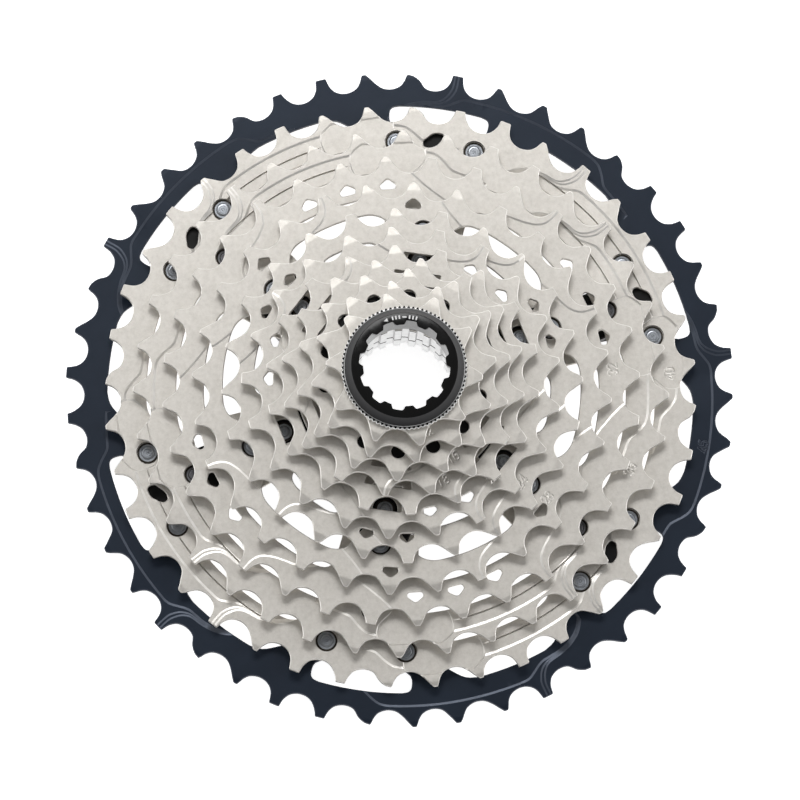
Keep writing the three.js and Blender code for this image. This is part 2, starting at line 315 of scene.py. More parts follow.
def solid_plate(name, flat, triangles, bottom, top, materials, relief, edge):
    """The plate's front and back made from one flat mesh, joined by a wall along its rim."""
    count = len(flat)
    sides = np.vstack([triangles[:, [0, 1]], triangles[:, [1, 2]], triangles[:, [2, 0]]])
    present = set(map(tuple, sides.tolist()))
    rim = [(a, b) for a, b in sides.tolist() if (b, a) not in present]
    on_rim = np.unique(np.array(rim))
    drop = np.zeros(count)
    drop[on_rim] = edge * EDGE_FALL
    front = top - drop - (relief(flat) if relief else 0)
    back = bottom + drop
    vertices = np.vstack([np.column_stack([flat, front]), np.column_stack([flat, back])])
    faces = triangles.tolist() + (triangles[:, ::-1] + count).tolist()
    faces += [(b, a, a + count, b + count) for a, b in rim]
    corners = vertices[triangles]
    normal = np.cross(corners[:, 1] - corners[:, 0], corners[:, 2] - corners[:, 0])
    rise = np.abs(normal[:, 2]) / np.maximum(np.linalg.norm(normal, axis=1), 1e-12)
    # faces that slope take the lighter copy of the finish, a painted highlight
    painted_highlight_faces = (rise < STEEP) & (len(materials) > 1)
    face_materials = painted_highlight_faces.astype(int).tolist() + [0] * (len(faces) - len(painted_highlight_faces))
    piece = new_object(name, vertices, faces, materials, PLATE_SHARP, face_materials)
    piece.modifiers.new("level_faces", "WEIGHTED_NORMAL").keep_sharp = True
    return piece


def turned(name, profile, sides, materials):
    """A ring turned from a closed (radius, height) profile, given counter-clockwise."""
    rows = [np.column_stack([circle(radius, sides), np.full(sides, height)])
            for radius, height in profile]
    return woven(name, rows, materials)


def woven(name, rows, materials, sharp=28, row_materials=None):
    """A closed ring of rows of points, each row going once round the axle."""
    count, sides = len(rows), len(rows[0])
    faces = []
    for j in range(count):
        k = (j + 1) % count
        for i in range(sides):
            n = (i + 1) % sides
            faces.append((j * sides + i, k * sides + i, k * sides + n, j * sides + n))
    face_materials = np.repeat(row_materials, sides).tolist() if row_materials else None
    return new_object(name, np.vstack(rows), faces, materials, sharp, face_materials)


def capped(name, profile, sides, materials, centre, sharp, second):
    """A pin turned from an open profile that starts and ends on its own axis.

    The steps of the profile that are numbered in second take the second material.
    """
    middle = profile[1:-1]
    vertices = [np.column_stack([circle(r, sides, centre), np.full(sides, h)]) for r, h in middle]
    vertices.append(np.array([[*centre, profile[0][1]], [*centre, profile[-1][1]]]))
    start = len(middle) * sides
    top = start - sides
    faces = []
    for i in range(sides):
        n = (i + 1) % sides
        faces.append((start, n, i))
        faces += [(a + i, a + n, a + sides + n, a + sides + i) for a in range(0, top, sides)]
        faces.append((start + 1, top + i, top + n))
    one_side = [0] + [int(step in second) for step in range(len(middle) - 1)] + [0]
    return new_object(name, np.vstack(vertices), faces, materials, sharp, one_side * sides)


# ---- materials


class Shader:
    """A node material: a Principled shader and its texture coordinates."""

    def __init__(self, name):
        self.material = bpy.data.materials.new(name)
        self.material.use_nodes = True
        self.nodes = self.material.node_tree.nodes
        self.links = self.material.node_tree.links
        self.surface = self.nodes["Principled BSDF"]
        self.place = self.add("ShaderNodeTexCoord").outputs["Object"]

    def add(self, kind, **inputs):
        node = self.nodes.new(kind)
        for socket, value in inputs.items():
            node.inputs[socket].default_value = value
        return node

    def link(self, source, node, socket):
        self.links.new(source, node.inputs[socket])

    def noise(self, scale, detail=4.0, roughness=0.55):
        node = self.add("ShaderNodeTexNoise", Scale=scale, Detail=detail, Roughness=roughness)
        self.link(self.place, node, "Vector")
        return node.outputs["Fac"]

    def colour(self, source, stops):
        """Colours the surface by a source, through stops of (place, colour)."""
        node = self.add("ShaderNodeValToRGB")
        elements = node.color_ramp.elements
        for element, (place, colour) in zip(elements, (stops[0], stops[-1])):
            element.position, element.color = place, (*colour, 1)
        for place, colour in stops[1:-1]:
            elements.new(place).color = (*colour, 1)
        self.link(source, node, "Fac")
        self.link(node.outputs["Color"], self.surface, "Base Color")

    def roughness(self, source, low, high):
        node = self.add("ShaderNodeMapRange", **{"To Min": low, "To Max": high})
        self.link(source, node, "Value")
        self.link(node.outputs["Result"], self.surface, "Roughness")

    def bump(self, source, strength, distance):
        node = self.add("ShaderNodeBump", Strength=strength, Distance=distance)
        self.link(source, node, "Height")
        self.link(node.outputs["Normal"], self.surface, "Normal")

    def finish(self, metallic, specular=0.5):
        self.surface.inputs["Metallic"].default_value = metallic
        self.surface.inputs["Specular IOR Level"].default_value = specular
        return self.material


def grey(value, warmth=0.0):
    """A linear grey, a little towards yellow."""
    return (value * (1 + warmth), value, value * (1 - 1.6 * warmth))


def nickel():
    shader = Shader("satin_nickel")
    shader.colour(shader.noise(700, 8, 0.75), [(0.3, grey(0.54, 0.047)), (0.5, grey(0.61, 0.043)),
                                               (0.7, grey(0.67, 0.038))])
    shader.roughness(shader.noise(900, 3), 0.46, 0.6)
    shader.bump(shader.noise(2400, 3), 0.3, 0.00008)
    return shader.finish(0.9)


def polished(name, colour, metallic):
    """A lighter copy of a finish for edges and slopes: painted highlight, brighter than the faces.
    """
    shader = Shader(name)
    shader.colour(shader.noise(400, 3), [(0.3, tuple(0.86 * c for c in colour)), (0.65, colour)])
    shader.roughness(shader.noise(900, 2), 0.36, 0.48)
    return shader.finish(metallic)


def navy():
    shader = Shader("navy_anodised")
    shader.colour(shader.noise(45, 4), [(0.3, (0.009, 0.015, 0.027)), (0.7, (0.013, 0.021, 0.036))])
    shader.roughness(shader.noise(700, 3), 0.38, 0.5)
    shader.bump(shader.noise(2200, 2), 0.1, 0.00004)
    return shader.finish(0.3, 0.3)


def black(name, low, high, metallic):
    """Black anodising, with a roughness between low and high."""
    shader = Shader(name)
    shader.colour(shader.noise(80, 4), [(0.3, grey(0.005)), (0.7, grey(0.008))])
    shader.roughness(shader.noise(600, 3), low, high)
    shader.bump(shader.noise(2500, 2), 0.1, 0.00004)
    return shader.finish(metallic, 0.3)


def steel(name, base, low, high, metallic=0.95):
    """Turned metal, or print with no metallic share, with a roughness between low and high."""
    shader = Shader(name)
    shader.colour(shader.noise(500, 3), [(0.3, base), (0.7, tuple(1.15 * c for c in base))])
    shader.roughness(shader.noise(1500, 2), low, high)
    shader.bump(shader.noise(2400, 2), 0.1, 0.00003)
    return shader.finish(metallic)


NICKEL = nickel()
# lighter copy of the nickel: painted highlight on the edges and slopes of the sprockets
NICKEL_PAINTED_HIGHLIGHT = polished("nickel_painted_highlight", grey(0.8, 0.03), 0.8)
NAVY = navy()
# lighter copy of the navy: painted highlight on the largest sprocket's edges and slopes
NAVY_PAINTED_HIGHLIGHT = polished("navy_painted_highlight", (0.065, 0.078, 0.105), 0.5)
BLACK_ALLOY = black("black_alloy", 0.35, 0.48, 0.4)
RIVET_STEEL = steel("rivet_steel", (0.36, 0.38, 0.41), 0.28, 0.4)
# painted shade: a darker copy of the rivet steel for the 36-tooth rivets, sunk in their holes
RIVET_STEEL_PAINTED_SHADE = steel("rivet_steel_painted_shade", (0.17, 0.17, 0.18), 0.3, 0.42)
# painted shadow: near-black brown on the rivet collars, in place of the shade in the pits round the
# heads
RIVET_PAINTED_SHADOW = steel("rivet_collar_painted_shadow", (0.035, 0.029, 0.023), 0.4, 0.5, 0.6)
SPACER_ALLOY = black("spacer_alloy", 0.35, 0.5, 0.4)
BARE_ALLOY = steel("bare_alloy", (0.78, 0.78, 0.78), 0.3, 0.45)
RING_BLACK = black("lock_ring_black", 0.16, 0.24, 0.2)
RING_BEVEL = steel("lock_ring_bevel", (0.015, 0.015, 0.016), 0.26, 0.36, 0.6)
RING_EDGE = steel("lock_ring_edge", (0.42, 0.42, 0.42), 0.35, 0.45, 0.8)
WASHER_STEEL = steel("washer_steel", (0.86, 0.86, 0.85), 0.45, 0.55)
PRINT_WHITE = steel("white_print", (0.72, 0.72, 0.72), 0.5, 0.6, 0.0)

# ---- sprocket outlines


def tooth(style, tip_round=0.3, steps=3):
    """One tooth from the middle of its left seat to just short of its right one."""
    left, right = FLANKS[style]
    left = spline(LOW_LEFT + left, steps)
    right = spline(right + STEEP_RIGHT, steps)[:-1]
    corners = []
    for before, corner, after in ((left[-2], left[-1], right[0]), (left[-1], right[0], right[1])):
        start, end = (corner + side * min(tip_round / np.linalg.norm(side), CORNER_SHARE)
                      for side in (before - corner, after - corner))
        corners += [start, 0.25 * start + 0.5 * corner + 0.25 * end, end]
    return np.vstack([left[:-1], corners, right[1:]])


def from_tooth(number, curve):
    """A curve's points as (tooth number, above the pitch circle)."""
    along, up = np.array(curve, float).T
    return np.column_stack([number + along / HALF_PITCH / 2, up])


def on_sprocket(teeth, turns_and_heights):
    """Points given as (tooth number, above the pitch circle), as places on the sprocket."""
    turns, up = turns_and_heights.T
    return polar(pitch_radius(teeth) + up, SPROCKETS[teeth]["phase"] + turns * 360 / teeth)


def tooth_shape(teeth, number):
    letters = SPROCKETS[teeth]["teeth"]
    return letters[number % len(letters)]


def toothed(teeth):
    return np.vstack([on_sprocket(teeth, from_tooth(number, tooth(tooth_shape(teeth, number))))
                      for number in range(teeth)])


# ---- ramps in the front faces

BAND = -5.0              # middle of a ramp's outer edge, from the pitch circle
BAND_STEP = 0.2          # teeth from point to point along it
RAMP = 0.18, 0.65        # each recess has its depth and the width of the slope down into it
POCKET = 0.36, 0.5
POCKET_TOP = -2.4        # the pockets cut into the seats and the tooth between them
STEP = 0.13, 0.5         # each of the two steps down to the last tooth of a ramp
STEP_START = 1.4         # teeth before the last one at which the steps' outlines begin
STEP_FADE = 1.3, 0.3     # teeth before the last one between which the steps reach full depth
OPEN = 0.15, 0.55        # a ramp without a band
OPEN_STEP = 0.25
OPEN_TEETH = 28          # its edges are drawn for this many teeth, and shrink below that
LINE_TOP = 2.5           # where the lines across a tooth begin, beyond its tip
OUTSIDE = 3.0            # beyond every tip
TIP_BEVEL = 0.22         # slope of the bevelled tips
DEEP_BEVEL = 28          # on sprockets of up to this many teeth the bevels start lower
BEVEL_START, DEEP_START = -0.7, -1.5
BEVEL_HALF = 2.9         # half the length of the line where a bevel starts
LEDGES = {40: 72.75, 36: 64.9}   # radius of the groove under the ramps' last teeth
LEDGE_GROOVE = 0.4
LEDGE_DEPTH = 0.9
LEDGE_PAST = 1.2         # teeth that the groove goes on past the ramp's last one
LEDGE_START, LEDGE_END = 0.25, 0.4     # teeth over which it sets in and runs out
SINK = 3.15              # sunk place round the rivet heads on the 40-tooth sprocket
SINK_DEPTH = 1.3         # no recess goes deeper into a sprocket
SINK_WALL = 0.08
SUNK_RIVETS = {40: OUTER_RIVET}
BORE_SIDE = 30           # outlines close this far in from the pitch circle, or half way in
STAMP_DEPTH = 0.16
STAMP_STROKE = 0.3
STAMP_IN = 6.6           # middle of the digits, in from the pitch circle
STAMP_SIZE, SMALL_STAMP = 0.62, 0.45   # the digits' unit, and the one for up to 12 teeth
DIGIT_WIDTH, DIGIT_HEIGHT, DIGIT_STEP = 2, 4, 2.9
STAMP_REACH = 5          # beyond this there is nothing of the stamp

# Edge curves, as (along the pitch circle, above it), measured from the place they are named for.
RISE = [(-20, -9.9), (-12, -9.4), (-9, -9.1), (-7.5, -8.4), (-6, -7.3), (-4.5, -6.3), (-3, -5.5),
        (-1.5, -5.15), (0, BAND)]
FALL = [(-6, BAND), (-4, BAND), (-2.4, -5.3), (-1, -6.0), (0.5, -6.85), (2, -7.6), (3.6, -8.05),
        (6, -8.15), (9, -8.25), (13, -8.9), (17, -10.5), (20, -13)]
STEPS = [[(0.9, LINE_TOP), (0.9, -1.5), (1.35, -3.3), (2.3, -5.0), (3.7, -6.3), (5.5, -6.95),
          (9, -7.25), (13, -8.0), (17, -9.6), (20, -12)],
         [(-0.2, LINE_TOP), (-0.1, -2.2), (0.4, -3.9), (1.4, -5.5), (2.7, -6.6), (4.6, -7.35),
          (8, -7.7), (13, -8.4), (17, -10.1), (20, -12.5)]]
OPEN_RISE = [(-20, -13.5), (-15, -11.3), (-9.5, -9.3), (-5, -7), (-2.5, -5.3), (-0.7, -3.7),
             (0.3, -2)]
OPEN_FALL = [(0.5, LINE_TOP), (0.55, -1.2), (1.0, -3.2), (2.0, -4.7), (3.5, -5.8), (5.6, -6.7),
             (8.2, -7.4), (13, -8.4), (17, -10), (20, -12.5)]
POCKET_LEFT = [(3, -11), (1.4, -9.6), (0, -8), (-0.4, -6.4), (-0.2, -5.0), (0.6, -3.6),
               (2.4, POCKET_TOP)]
POCKET_RIGHT = [(-4.4, POCKET_TOP), (-2.2, -3.6), (-0.7, -4.8), (-0.1, -6.2), (0, -7.8),
                (-0.2, -9.4), (-0.8, -11)]


def zone(curve, depth, wall, fade=None):
    """A recess inside a closed curve; fade=(from, to) in tooth numbers lets it run out level."""
    return dict(curve=curve, depth=depth, wall=wall, fade=fade)


def level(turns, height):
    return np.column_stack([turns, np.full(len(turns), height)])


def closed_inside(teeth, curve):
    """A curve in (tooth number, height) closed through the bore, as places on the sprocket."""
    below = -min(BORE_SIDE, pitch_radius(teeth) / 2)
    back = level(np.linspace(curve[-1, 0], curve[0, 0], 40), below)
    return on_sprocket(teeth, np.vstack([curve, back]))


def ramp_zones(teeth, ramp):
    """The recesses of one ramp: those that share one floor, and those that add to each other."""
    if len(ramp) == 2:
        return [open_ramp(teeth, *ramp)], []
    rise, left, right, last = ramp
    band = level(np.arange(rise + BAND_STEP, last - 0.5, BAND_STEP), BAND)
    edge = np.vstack([from_tooth(rise, spline(RISE, 6)), band, from_tooth(last, spline(FALL, 6))])
    shared = [zone(closed_inside(teeth, edge), *RAMP)]
    if left is not None:
        edge = np.vstack([from_tooth(left, spline(POCKET_LEFT, 5)),
                          from_tooth(right, spline(POCKET_RIGHT, 5))])
        shared.append(zone(closed_inside(teeth, edge), *POCKET))
    steps = []
    for curve in STEPS:
        edge = np.vstack([[(last - STEP_START, LINE_TOP)], from_tooth(last, spline(curve, 6))])
        fade = [last - before for before in STEP_FADE]
        steps.append(zone(closed_inside(teeth, edge), *STEP, fade))
    return shared, steps


def open_ramp(teeth, rise, last):
    """A ramp that takes in its teeth whole and climbs back on its last tooth."""
    share = min(1.0, (teeth / OPEN_TEETH) ** 0.5)
    start = from_tooth(rise, spline(OPEN_RISE, 6) * share)
    end = from_tooth(last, spline(OPEN_FALL, 6) * share)
    over = level(np.append(np.arange(rise, end[0, 0], OPEN_STEP), end[0, 0]), OUTSIDE)
    return zone(closed_inside(teeth, np.vstack([start, over, end])), *OPEN)


def turn_from(turn, start, teeth):
    """Teeth from a tooth number to each point, the shorter way round."""
    return (turn - start + teeth / 2) % teeth - teeth / 2


def zone_depth(points, turn, teeth, recess):
    """How far a recess lowers each point."""
    curve = recess["curve"]
    low, high = curve.min(axis=0) - 1, curve.max(axis=0) + 1
    near = ((points > low) & (points < high)).all(axis=1)
    depth = np.zeros(len(points))
    if near.any():
        there = points[near]
        gap = np.abs(signed_distance(there, closed(curve)))
        gap = np.where(inside(there, [curve]), gap, -gap)
        depth[near] = recess["depth"] * np.clip(gap / recess["wall"] + 0.5, 0, 1)
    if recess["fade"]:
        start, end = recess["fade"]
        depth *= smoothstep(0, end - start, turn_from(turn, start, teeth))
    return depth


def wall_rails(recess):
    """Mesh edges along a recess wall: its middle and both its edges."""
    curve, wall = recess["curve"], recess["wall"]
    return [curve] + [offset(curve, side * wall / 2) for side in (-1, 1)]


def bevel_start(teeth):
    return DEEP_START if teeth <= DEEP_BEVEL else BEVEL_START


def bevelled(teeth):
    return np.array([tooth_shape(teeth, number) in BEVELLED_TIPS for number in range(teeth)])


def tip_rails(teeth):
    start = [(-BEVEL_HALF, bevel_start(teeth)), (BEVEL_HALF, bevel_start(teeth))]
    return [on_sprocket(teeth, from_tooth(number, start))
            for number in np.flatnonzero(bevelled(teeth))]


# Each digit as strokes on a grid two wide and four high.
DIGITS = {
    "0": [[(0, 1), (0, 3), (0.5, 4), (1.5, 4), (2, 3), (2, 1), (1.5, 0), (0.5, 0), (0, 1)]],
    "1": [[(0.3, 3.2), (1.2, 4), (1.2, 0)]],
    "2": [[(0, 3.2), (0.5, 4), (1.5, 4), (2, 3.2), (2, 2.6), (0, 0), (2, 0)]],
    "3": [[(0, 3.5), (0.5, 4), (1.5, 4), (2, 3.2), (1.2, 2.1), (2, 1.1), (1.5, 0), (0.5, 0),
           (0, 0.6)]],
    "4": [[(1.6, 0), (1.6, 4), (0, 1.2), (2.1, 1.2)]],
    "5": [[(1.9, 4), (0.3, 4), (0.1, 2.3), (1.4, 2.5), (2, 1.6), (1.9, 0.7), (1.3, 0), (0.4, 0),
           (0, 0.5)]],
    "6": [[(1.8, 3.7), (1.2, 4), (0.4, 3.4), (0, 2), (0.1, 0.8), (0.7, 0), (1.5, 0), (2, 0.8),
           (1.9, 1.7), (1.3, 2.2), (0.3, 1.8)]],
    "8": [[(1, 2.1), (0.2, 2.8), (0.4, 3.8), (1, 4), (1.6, 3.8), (1.8, 2.8), (1, 2.1), (0.1, 1.4),
           (0.2, 0.4), (1, 0), (1.8, 0.4), (1.9, 1.4), (1, 2.1)]],
}


def stamp_strokes(teeth):
    """The strokes of the tooth count, upright when seen from the rim."""
    at = STAMPED_AT[teeth]
    out, across = out_and_across(at)
    middle = polar(pitch_radius(teeth) - STAMP_IN, at)
    size = STAMP_SIZE if teeth > 12 else SMALL_STAMP
    text_middle = (DIGIT_STEP + DIGIT_WIDTH) / 2
    strokes = []
    for place, digit in enumerate(str(teeth)):
        for stroke in DIGITS[digit]:
            x, y = np.array(stroke, float).T * size
            x = x + (place * DIGIT_STEP - text_middle) * size
            y = y - DIGIT_HEIGHT / 2 * size
            strokes.append(middle + across * x[:, None] - out * y[:, None])
    return strokes


def stamp_grid(strokes, spacing=0.16, margin=0.4):
    points = np.vstack(strokes)
    low, high = points.min(axis=0) - margin, points.max(axis=0) + margin
    x, y = np.meshgrid(np.arange(low[0], high[0], spacing), np.arange(low[1], high[1], spacing))
    return np.column_stack([x.ravel(), y.ravel()])


def stamp_depth(points, strokes):
    middle = np.vstack(strokes).mean(axis=0)
    near = np.linalg.norm(points - middle, axis=1) < STAMP_REACH
    depth = np.zeros(len(points))
    gap = np.min([np.abs(signed_distance(points[near], stroke)) for stroke in strokes], axis=0)
    depth[near] = STAMP_DEPTH * (1 - smoothstep(STAMP_STROKE * 0.4, STAMP_STROKE, gap))
    return depth


def ledge_depth(radius, turn, teeth, ramp):
    """The groove that runs under a ramp's last teeth, from the end of its pocket."""
    start = ramp[2]
    length = ramp[3] + LEDGE_PAST - start
    along = turn_from(turn, start, teeth)
    within = smoothstep(0, LEDGE_START, along) * (1 - smoothstep(length - LEDGE_END, length, along))
    return within * np.where(np.abs(radius - LEDGES[teeth]) < LEDGE_GROOVE / 2, LEDGE_DEPTH, 0)


def sprocket_relief(teeth):
    """The rails, loose points and depth function of a sprocket's front face."""
    spec = SPROCKETS[teeth]
    ramps = [ramp_zones(teeth, ramp) for ramp in spec["ramps"]]
    strokes = stamp_strokes(teeth)
    sinks = [polar(SUNK_RIVETS[teeth], at) for at in rivet_pairs()] if teeth in SUNK_RIVETS else []
    has_bevel = bevelled(teeth)

    rails = tip_rails(teeth)
    for shared, steps in ramps:
        for recess in shared + steps:
            rails += wall_rails(recess)
    if teeth in LEDGES:
        rails += [closed(circle(LEDGES[teeth] + share * LEDGE_GROOVE, 360))
                  for share in (-0.55, -0.45, 0.45, 0.55)]
    for centre in sinks:
        rails += [closed(circle(SINK - share, 40, centre)) for share in (0.0, SINK_WALL)]

    def relief(points):
        radius = np.linalg.norm(points, axis=1)
        turn = (np.degrees(np.arctan2(points[:, 1], points[:, 0])) - spec["phase"]) * teeth / 360
        past_start = np.clip(radius - pitch_radius(teeth) - bevel_start(teeth), 0, None)
        drop = np.where(has_bevel[np.round(turn).astype(int) % teeth], TIP_BEVEL * past_start, 0)
        for (shared, steps), ramp in zip(ramps, spec["ramps"]):
            drop += np.max([zone_depth(points, turn, teeth, recess) for recess in shared], axis=0)
            for step in steps:
                drop += zone_depth(points, turn, teeth, step)
            if teeth in LEDGES:
                drop += ledge_depth(radius, turn, teeth, ramp)
        for centre in sinks:
            sunk = np.linalg.norm(points - centre, axis=1) < SINK - SINK_WALL / 2
            drop = np.where(sunk, SINK_DEPTH, drop)
        return np.clip(drop + stamp_depth(points, strokes), 0, SINK_DEPTH)

    return rails, stamp_grid(strokes), relief


# ---- holes and inner edges

WINDOW_CORNER = 4.5


def landed_bore(open_radius, land_radius, half_width, splay=2, lean=0):
    """The inner edge of a ring that reaches further in at each carrier arm.

    Each of these lands is wider by the splay, on both sides, where it leaves the open edge, and
    the windows between them are turned by the lean, in degrees.
    """
    land = math.degrees(math.asin(half_width / land_radius))
    wide = math.degrees(math.asin((half_width + splay) / open_radius))
    arc = math.degrees(WINDOW_CORNER / open_radius)
    t = np.linspace(0, 1, 8)[:, None]
    rows = []
    for at in arm_angles():
        bends = []
        for side, arm in ((1, at), (-1, at + ARM_STEP)):
            corner = polar(open_radius, arm + side * wide + lean)
            foot = polar(land_radius, arm + side * land) - corner
            before = corner + foot * min(0.8, WINDOW_CORNER / np.linalg.norm(foot))
            after = polar(open_radius, arm + side * (wide + arc) + lean)
            bends.append((1 - t) ** 2 * before + 2 * t * (1 - t) * corner + t * t * after)
        edge = np.linspace(at + wide + arc, at + ARM_STEP - wide - arc, 22)[1:-1]
        rows += [polar(land_radius, np.linspace(at - land, at + land, 14)), bends[0],
                 polar(open_radius, lean + edge), bends[1][::-1]]
    return np.vstack(rows)


def tabbed_bore():
    """The inner edge of the largest sprocket: two slanting tabs to each arm, between windows."""
    side = [(82.4, 8.0), (82.0, 9.3), (80.6, 9.9), (77.6, 9.7), (75.2, 7.0), (73.5, 5.9),
            (71.0, 5.3), (69.3, 5.6), (67.9, 7.4), (67.7, 9.0), (68.2, 10.8), (70.5, 12.4),
            (74.0, 15.2), (77.5, 18.2), (79.9, 20.6), (80.7, 23.0)]
    radius, turn = spline(side, 3).T
    rows = []
    for at in arm_angles():
        rows.append(polar(radius, at - turn)[::-1])
        rows.append(polar(82.4, np.linspace(at - 7, at + 7, 9)))
        rows.append(polar(radius, at + turn))
        rows.append(polar(80.7, np.linspace(at + 24.5, at + 35.5, 6)))
    return np.vstack(rows)


def splined_bore():
    step = 360 / SPLINES
    rows = []
    for i in range(SPLINES):
        at = i * step
        rows.append(polar(SPLINE_TIP, at + step * np.array([-0.22, 0, 0.22])))
        rows.append(polar(SPLINE_ROOT, at + step * np.array([0.29, 0.5, 0.71])))
    return np.vstack(rows)


NO_SLOT_ARM = FIRST_ARM + 4 * ARM_STEP   # no slot between its outer rivets
SMALLEST_BORE = 13.7


def lightening_holes(teeth, radius, numbers, length=4.6, width=3.4):
    """Rounded triangles on the centre lines of some teeth, pointing out."""
    shape = [(-0.42, -0.42), (-0.05, -0.5), (0.5, 0.0), (-0.05, 0.5), (-0.42, 0.42)]
    holes = []
    for number in numbers:
        at = SPROCKETS[teeth]["phase"] + number * 360 / teeth
        out, across = out_and_across(at)
        holes.append(rounded([polar(radius, at) + out * width * a + across * length * b
                              for a, b in shape], 1.0))
    return holes


def pair_slot(at):
    """The slanted oval between two outer rivets."""
    corners = [(74.5, -1.5), (74.4, 0.7), (71.8, 2.9), (70.2, 2.6), (70.1, 0.9), (72.3, -1.9)]
    return rounded([polar(radius, at + turn) for radius, turn in corners], 1.2)


def chord_slots(inner, chord, half):
    """A slot at each arm, straight along its outer side and a little shorter along its inner."""
    slots = []
    for at in arm_angles():
        out, across = out_and_across(at)
        edge = [out * chord + across * s for s in (half, -half)]
        reach = 0.86 * math.degrees(half / inner)
        low = polar(inner, np.linspace(at - reach, at + reach, 9))
        slots.append(rounded(np.vstack([edge, low]), 0.6, 3))
    return slots


def round_holes(radius, directions, size=SHANK_HOLE):
    return [circle(size, 28, polar(radius, at)) for at in directions]


INSIDES = {
    45: lambda: [tabbed_bore()] + round_holes(OUTER_RIVET, rivet_pairs()),
    40: lambda: [landed_bore(69.9, 66.9, 18)] + round_holes(OUTER_RIVET, rivet_pairs())
        + [pair_slot(at) for at in arm_angles() if at != NO_SLOT_ARM],
    36: lambda: [landed_bore(61.7, 58.4, 9)] + round_holes(MIDDLE_RIVET, arm_angles(), 2.7),
    32: lambda: [landed_bore(54.1, 40.4, 10)] + round_holes(INNER_RIVET, arm_angles())
        + lightening_holes(32, 57.7, [1, 2, 3, 8, 9, 10, 17, 18, 19, 24, 25, 26]),
    28: lambda: [landed_bore(48.9, 40.4, 5, 6, 1.3)] + round_holes(INNER_RIVET, arm_angles(), 3.1)
        + lightening_holes(28, 51.4, [6, 10, 20, 24]),
    24: lambda: [landed_bore(40.5, 30.6, 9.5)] + round_holes(HUB_RIVET, arm_angles(), 3.4)
        + lightening_holes(24, 42.5, [1, 2, 9, 10, 17, 18], 4.2, 3.0),
    21: lambda: [splined_bore()] + chord_slots(29, 35.8, 4.6)
        + lightening_holes(21, 36.6, [2, 3, 9, 10, 16, 17], 4.2, 3.0),
    18: lambda: [splined_bore()] + chord_slots(26.6, 29.8, 6.5),
    16: lambda: [splined_bore()] + chord_slots(22.2, 25.3, 5.5),
    14: lambda: [splined_bore()] + round_holes(21.3, 8.8 + np.arange(14) * 360 / 14, 1.95),
    12: lambda: [splined_bore()],
    10: lambda: [circle(SMALLEST_BORE, 60)],
}


def sprocket(teeth):
    name = f"sprocket_{teeth}t"
    top = measured(name)[1]
    # the face's finish, then its lighter copy that paints a highlight on edges and slopes
    finish = [NAVY, NAVY_PAINTED_HIGHLIGHT] if teeth == 45 else [NICKEL, NICKEL_PAINTED_HIGHLIGHT]
    piece = plate(f"{name}_face", toothed(teeth), INSIDES[teeth](), top - PLATE, top, finish,
                  *sprocket_relief(teeth))
    finished(piece, STACK, name)


def smallest_collar():
    """The spacing collar behind the smallest sprocket."""
    bottom, top, _ = measured("sprocket_10t")
    top -= PLATE
    inner, outer, edge = SMALLEST_BORE, 15.6, 0.2
    profile = [(inner, bottom + edge), (inner + edge, bottom), (outer - edge, bottom),
               (outer, bottom + edge), (outer, top), (inner, top)]
    piece = turned("sprocket_10t_collar", profile, 96, [NICKEL])
    finished(piece, STACK)


# ---- carriers

VALLEY = 26              # from the axle to the meeting of two arms
HUB = 25
CARRIER_BORE = 22        # of the arms, hidden in the hub
HUB_EDGE, END_EDGE = 0.4, 0.3


def star(edge):
    """Six arms round a hub; each arm's edge is (out, half width) from hub to tip."""
    half_edge = spline(edge, 4)
    rows = []
    for at in arm_angles():
        out, across = out_and_across(at)
        rows += [out * o - across * h for o, h in half_edge]
        rows += [out * o + across * h for o, h in half_edge[::-1]]
        rows.append(polar(VALLEY, at + ARM_STEP / 2))
    return np.array(rows)


def arms(name, edge, holes, bottom, top, broken):
    """The star-shaped plate of a carrier's arms."""
    return plate(name, star(edge), [circle(CARRIER_BORE, 96)] + holes, bottom, top, [BLACK_ALLOY],
                 edge=broken, grid=0)


def hub(name, bottom, top):
    """The middle of a carrier, with its splined bore machined bare."""
    piece = plate(name, circle(HUB, 120), [splined_bore()], bottom, top, [BLACK_ALLOY],
                  edge=HUB_EDGE, grid=0)
    piece.data.materials.append(BARE_ALLOY)
    for face in piece.data.polygons:
        if face.center.xy.length < (SPLINE_ROOT + 0.1) * MM and abs(face.normal.z) < 0.5:
            face.material_index = 1
    return piece


def rear_carrier():
    """Thick arms for the 36-tooth sprocket, with thin ends for the two largest ones."""
    holes = round_holes(MIDDLE_RIVET, arm_angles())
    thick = [(VALLEY, 10), (36, 8.5), (44, 7), (62, 6.5), (66.4, 4.5)]
    thin = [(VALLEY, 10), (36, 8.5), (44, 7), (59, 7), (67, 14.5), (73, 15.4), (75.8, 12.5)]
    carried("rear_carrier", [
        arms("rear_carrier_arms", thick, holes, 1.9, 7.0, HUB_EDGE),
        arms("rear_carrier_ends", thin, holes + round_holes(OUTER_RIVET, rivet_pairs()), 1.9, 3.35,
             END_EDGE),
        hub("rear_carrier_hub", 0.6, 8.9),
    ])


def front_carrier():
    """Thick arms for the 24-tooth sprocket, with thin ends between the 32 and 28-tooth ones."""
    holes = round_holes(HUB_RIVET, arm_angles())
    thick = [(VALLEY, 10), (34, 9.5), (39.2, 7.5)]
    thin = [(VALLEY, 10), (34, 9.5), (42, 7.2), (46.5, 6.2), (48.8, 3)]
    carried("front_carrier", [
        arms("front_carrier_arms", thick, holes, 9.2, 17.95, HUB_EDGE),
        arms("front_carrier_ends", thin, holes + round_holes(INNER_RIVET, arm_angles()), 12.85,
             14.3, END_EDGE),
        hub("front_carrier_hub", 9.2, 21.6),
    ])


def carried(node, parts):
    for part, replaced in zip(parts, (node, None, None)):
        finished(part, STACK, replaced)


# ---- rivets and spacers

SHADOW_COLLAR = 0.5             # how far a rivet's collar, painted dark for the shadow in its pit, reaches past its head
SHADOW_COLLAR_STEPS = 3, 4, 5   # the collar's side and top, and the foot of the head: the faces with painted shadow
